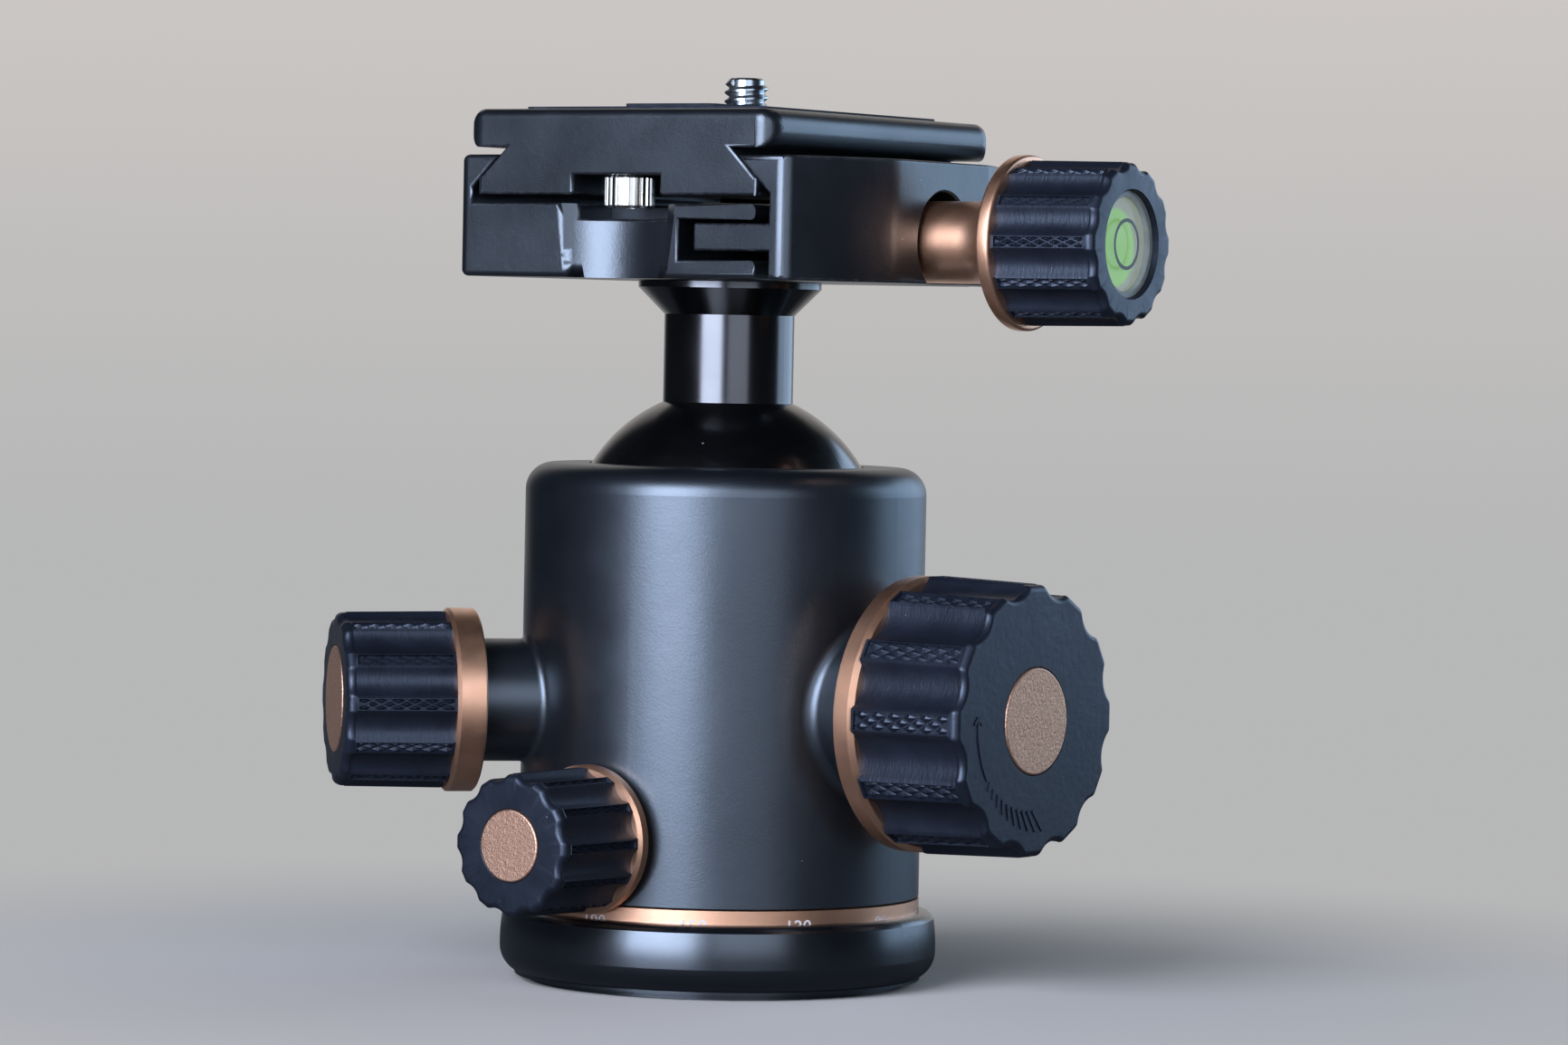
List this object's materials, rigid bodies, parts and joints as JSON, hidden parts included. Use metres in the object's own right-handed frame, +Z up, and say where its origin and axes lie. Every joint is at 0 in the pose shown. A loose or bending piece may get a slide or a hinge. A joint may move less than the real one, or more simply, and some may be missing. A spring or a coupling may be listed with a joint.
{
  "type": "tripod ball head",
  "caption": "Tripod ball head with a panning base, fluted lock, tension and pan knobs, a drop notch and a sliding dovetail quick-release clamp with its plate.",
  "frame": {"origin": "centre of the base's underside, at the mouth of the tripod thread on the pan axis", "axes": "+Z up along the pan axis, +X along the clamp knob with the ball upright, and the plate slides along Y"},
  "size_m": [0.1125, 0.079, 0.1291],
  "materials": {
    "black_paint": "cast, with satin black paint",
    "black_anodised": "glossy black anodised",
    "grip_rubber": "matt rubber",
    "copper_anodised": "bead-blasted, copper anodised",
    "cap_disc": "grained, copper anodised",
    "steel": "zinc-plated",
    "nickel": "nickel-plated",
    "aluminium": "turned",
    "brass": "turned",
    "bearing_plastic": "slippery white plastic",
    "pad_rubber": "matt rubber",
    "spring_steel": "bright wire",
    "vial_body": "white plastic",
    "vial_liquid": "green liquid",
    "vial_lens": "clear"
  },
  "bodies": {
    "base": {"base_plate": "black_paint", "scale_ring": "copper_anodised", "thread_bush": "steel", "pan_spindle": "aluminium", "base_screws": "steel", "pan_washer": "bearing_plastic"},
    "housing": {"housing": "black_paint", "bottom_ring": "aluminium", "floor_plate": "aluminium", "floor_circlip": "spring_steel", "ball_seat": "bearing_plastic", "main_bushing": "brass", "tension_bushing": "brass", "pan_bushing": "brass", "cup_springs": "spring_steel"},
    "brake_cup": {"brake_cup": "brass"},
    "main_wedge": {"main_wedge": "steel"},
    "main_knob": {"main_screw": "steel", "main_ring": "copper_anodised", "main_grip": "grip_rubber", "main_cap": "cap_disc"},
    "tension_wedge": {"tension_wedge": "steel"},
    "tension_knob": {"tension_screw": "steel", "tension_ring": "copper_anodised", "tension_grip": "grip_rubber", "tension_cap": "cap_disc"},
    "pan_shoe": {"pan_shoe": "brass"},
    "pan_knob": {"pan_screw": "steel", "pan_ring": "copper_anodised", "pan_grip": "grip_rubber", "pan_cap": "cap_disc"},
    "ball": {"ball": "black_anodised"},
    "clamp": {"clamp_base": "black_paint", "clamp_bolt": "steel", "jaw_springs": "spring_steel"},
    "jaw": {"clamp_jaw": "black_paint"},
    "clamp_knob": {"clamp_screw": "steel", "clamp_ferrule": "copper_anodised", "clamp_grip": "grip_rubber", "vial_cup": "vial_body", "vial_liquid": "vial_liquid", "vial_lens": "vial_lens"},
    "plate": {"quick_plate": "black_paint", "plate_pad": "pad_rubber", "stop_screws": "nickel"},
    "screw_carrier": {"screw_washer": "bearing_plastic"},
    "camera_screw": {"camera_screw": "steel"}
  },
  "joints": [
    {"name": "pan", "type": "hinge", "parent": "base", "child": "housing", "pos_m": [0, 0, 0], "axis": [0, 0, 1], "continuous": true},
    {"name": "ball_tilt", "type": "hinge", "parent": "housing", "child": "ball", "pos_m": [0, 0, 0.0622], "axis": [-0.8192, -0.5736, 0], "range_deg": [-32, 90]},
    {"name": "ball_spin", "type": "hinge", "parent": "ball", "child": "clamp", "pos_m": [0, 0, 0.09998], "axis": [0, 0, 1], "continuous": true},
    {"name": "main_wedge_slide", "type": "slide", "parent": "housing", "child": "main_wedge", "axis": [0.9962, -0.0872, 0], "range_m": [0, 0.000937]},
    {"name": "main_knob_turn", "type": "hinge", "parent": "main_wedge", "child": "main_knob", "pos_m": [0, 0, 0.04], "axis": [0.9962, -0.0872, 0], "range_deg": [0, 270]},
    {"name": "brake_cup_drop", "type": "slide", "parent": "housing", "child": "brake_cup", "axis": [0, 0, -1], "range_m": [0, 0.00025]},
    {"name": "tension_wedge_slide", "type": "slide", "parent": "housing", "child": "tension_wedge", "axis": [-0.7071, -0.7071, 0], "range_m": [0, 0.00075]},
    {"name": "tension_knob_turn", "type": "hinge", "parent": "tension_wedge", "child": "tension_knob", "pos_m": [0, 0, 0.04], "axis": [-0.7071, -0.7071, 0], "range_deg": [0, 270]},
    {"name": "pan_shoe_slide", "type": "slide", "parent": "housing", "child": "pan_shoe", "axis": [-0.0872, -0.9962, 0], "range_m": [0, 0.00075]},
    {"name": "pan_knob_turn", "type": "hinge", "parent": "pan_shoe", "child": "pan_knob", "pos_m": [0, 0, 0.0218], "axis": [-0.0872, -0.9962, 0], "range_deg": [0, 270]},
    {"name": "jaw_slide", "type": "slide", "parent": "clamp", "child": "jaw", "axis": [1, 0, 0], "range_m": [0, 0.003]},
    {"name": "clamp_knob_turn", "type": "hinge", "parent": "jaw", "child": "clamp_knob", "pos_m": [0.04, 0, 0.10588], "axis": [1, 0, 0], "range_deg": [0, 1080]},
    {"name": "plate_slide", "type": "slide", "parent": "clamp", "child": "plate", "axis": [0, 1, 0], "range_m": [-0.0025, 0.0025]},
    {"name": "screw_slide", "type": "slide", "parent": "plate", "child": "screw_carrier", "axis": [0, 1, 0], "range_m": [-0.0132, 0.0064]},
    {"name": "camera_screw_turn", "type": "hinge", "parent": "screw_carrier", "child": "camera_screw", "pos_m": [0, 0.0034, 0.12], "axis": [0, 0, 1], "continuous": true}
  ],
  "couplings": [
    {"joint": "main_knob_turn", "follows": "main_wedge_slide", "rad_per_m": 5026.5},
    {"joint": "brake_cup_drop", "follows": "main_wedge_slide", "ratio": 0.234},
    {"joint": "tension_knob_turn", "follows": "tension_wedge_slide", "rad_per_m": 6283.2},
    {"joint": "pan_knob_turn", "follows": "pan_shoe_slide", "rad_per_m": 6283.2},
    {"joint": "clamp_knob_turn", "follows": "jaw_slide", "rad_per_m": 6283.2}
  ]
}
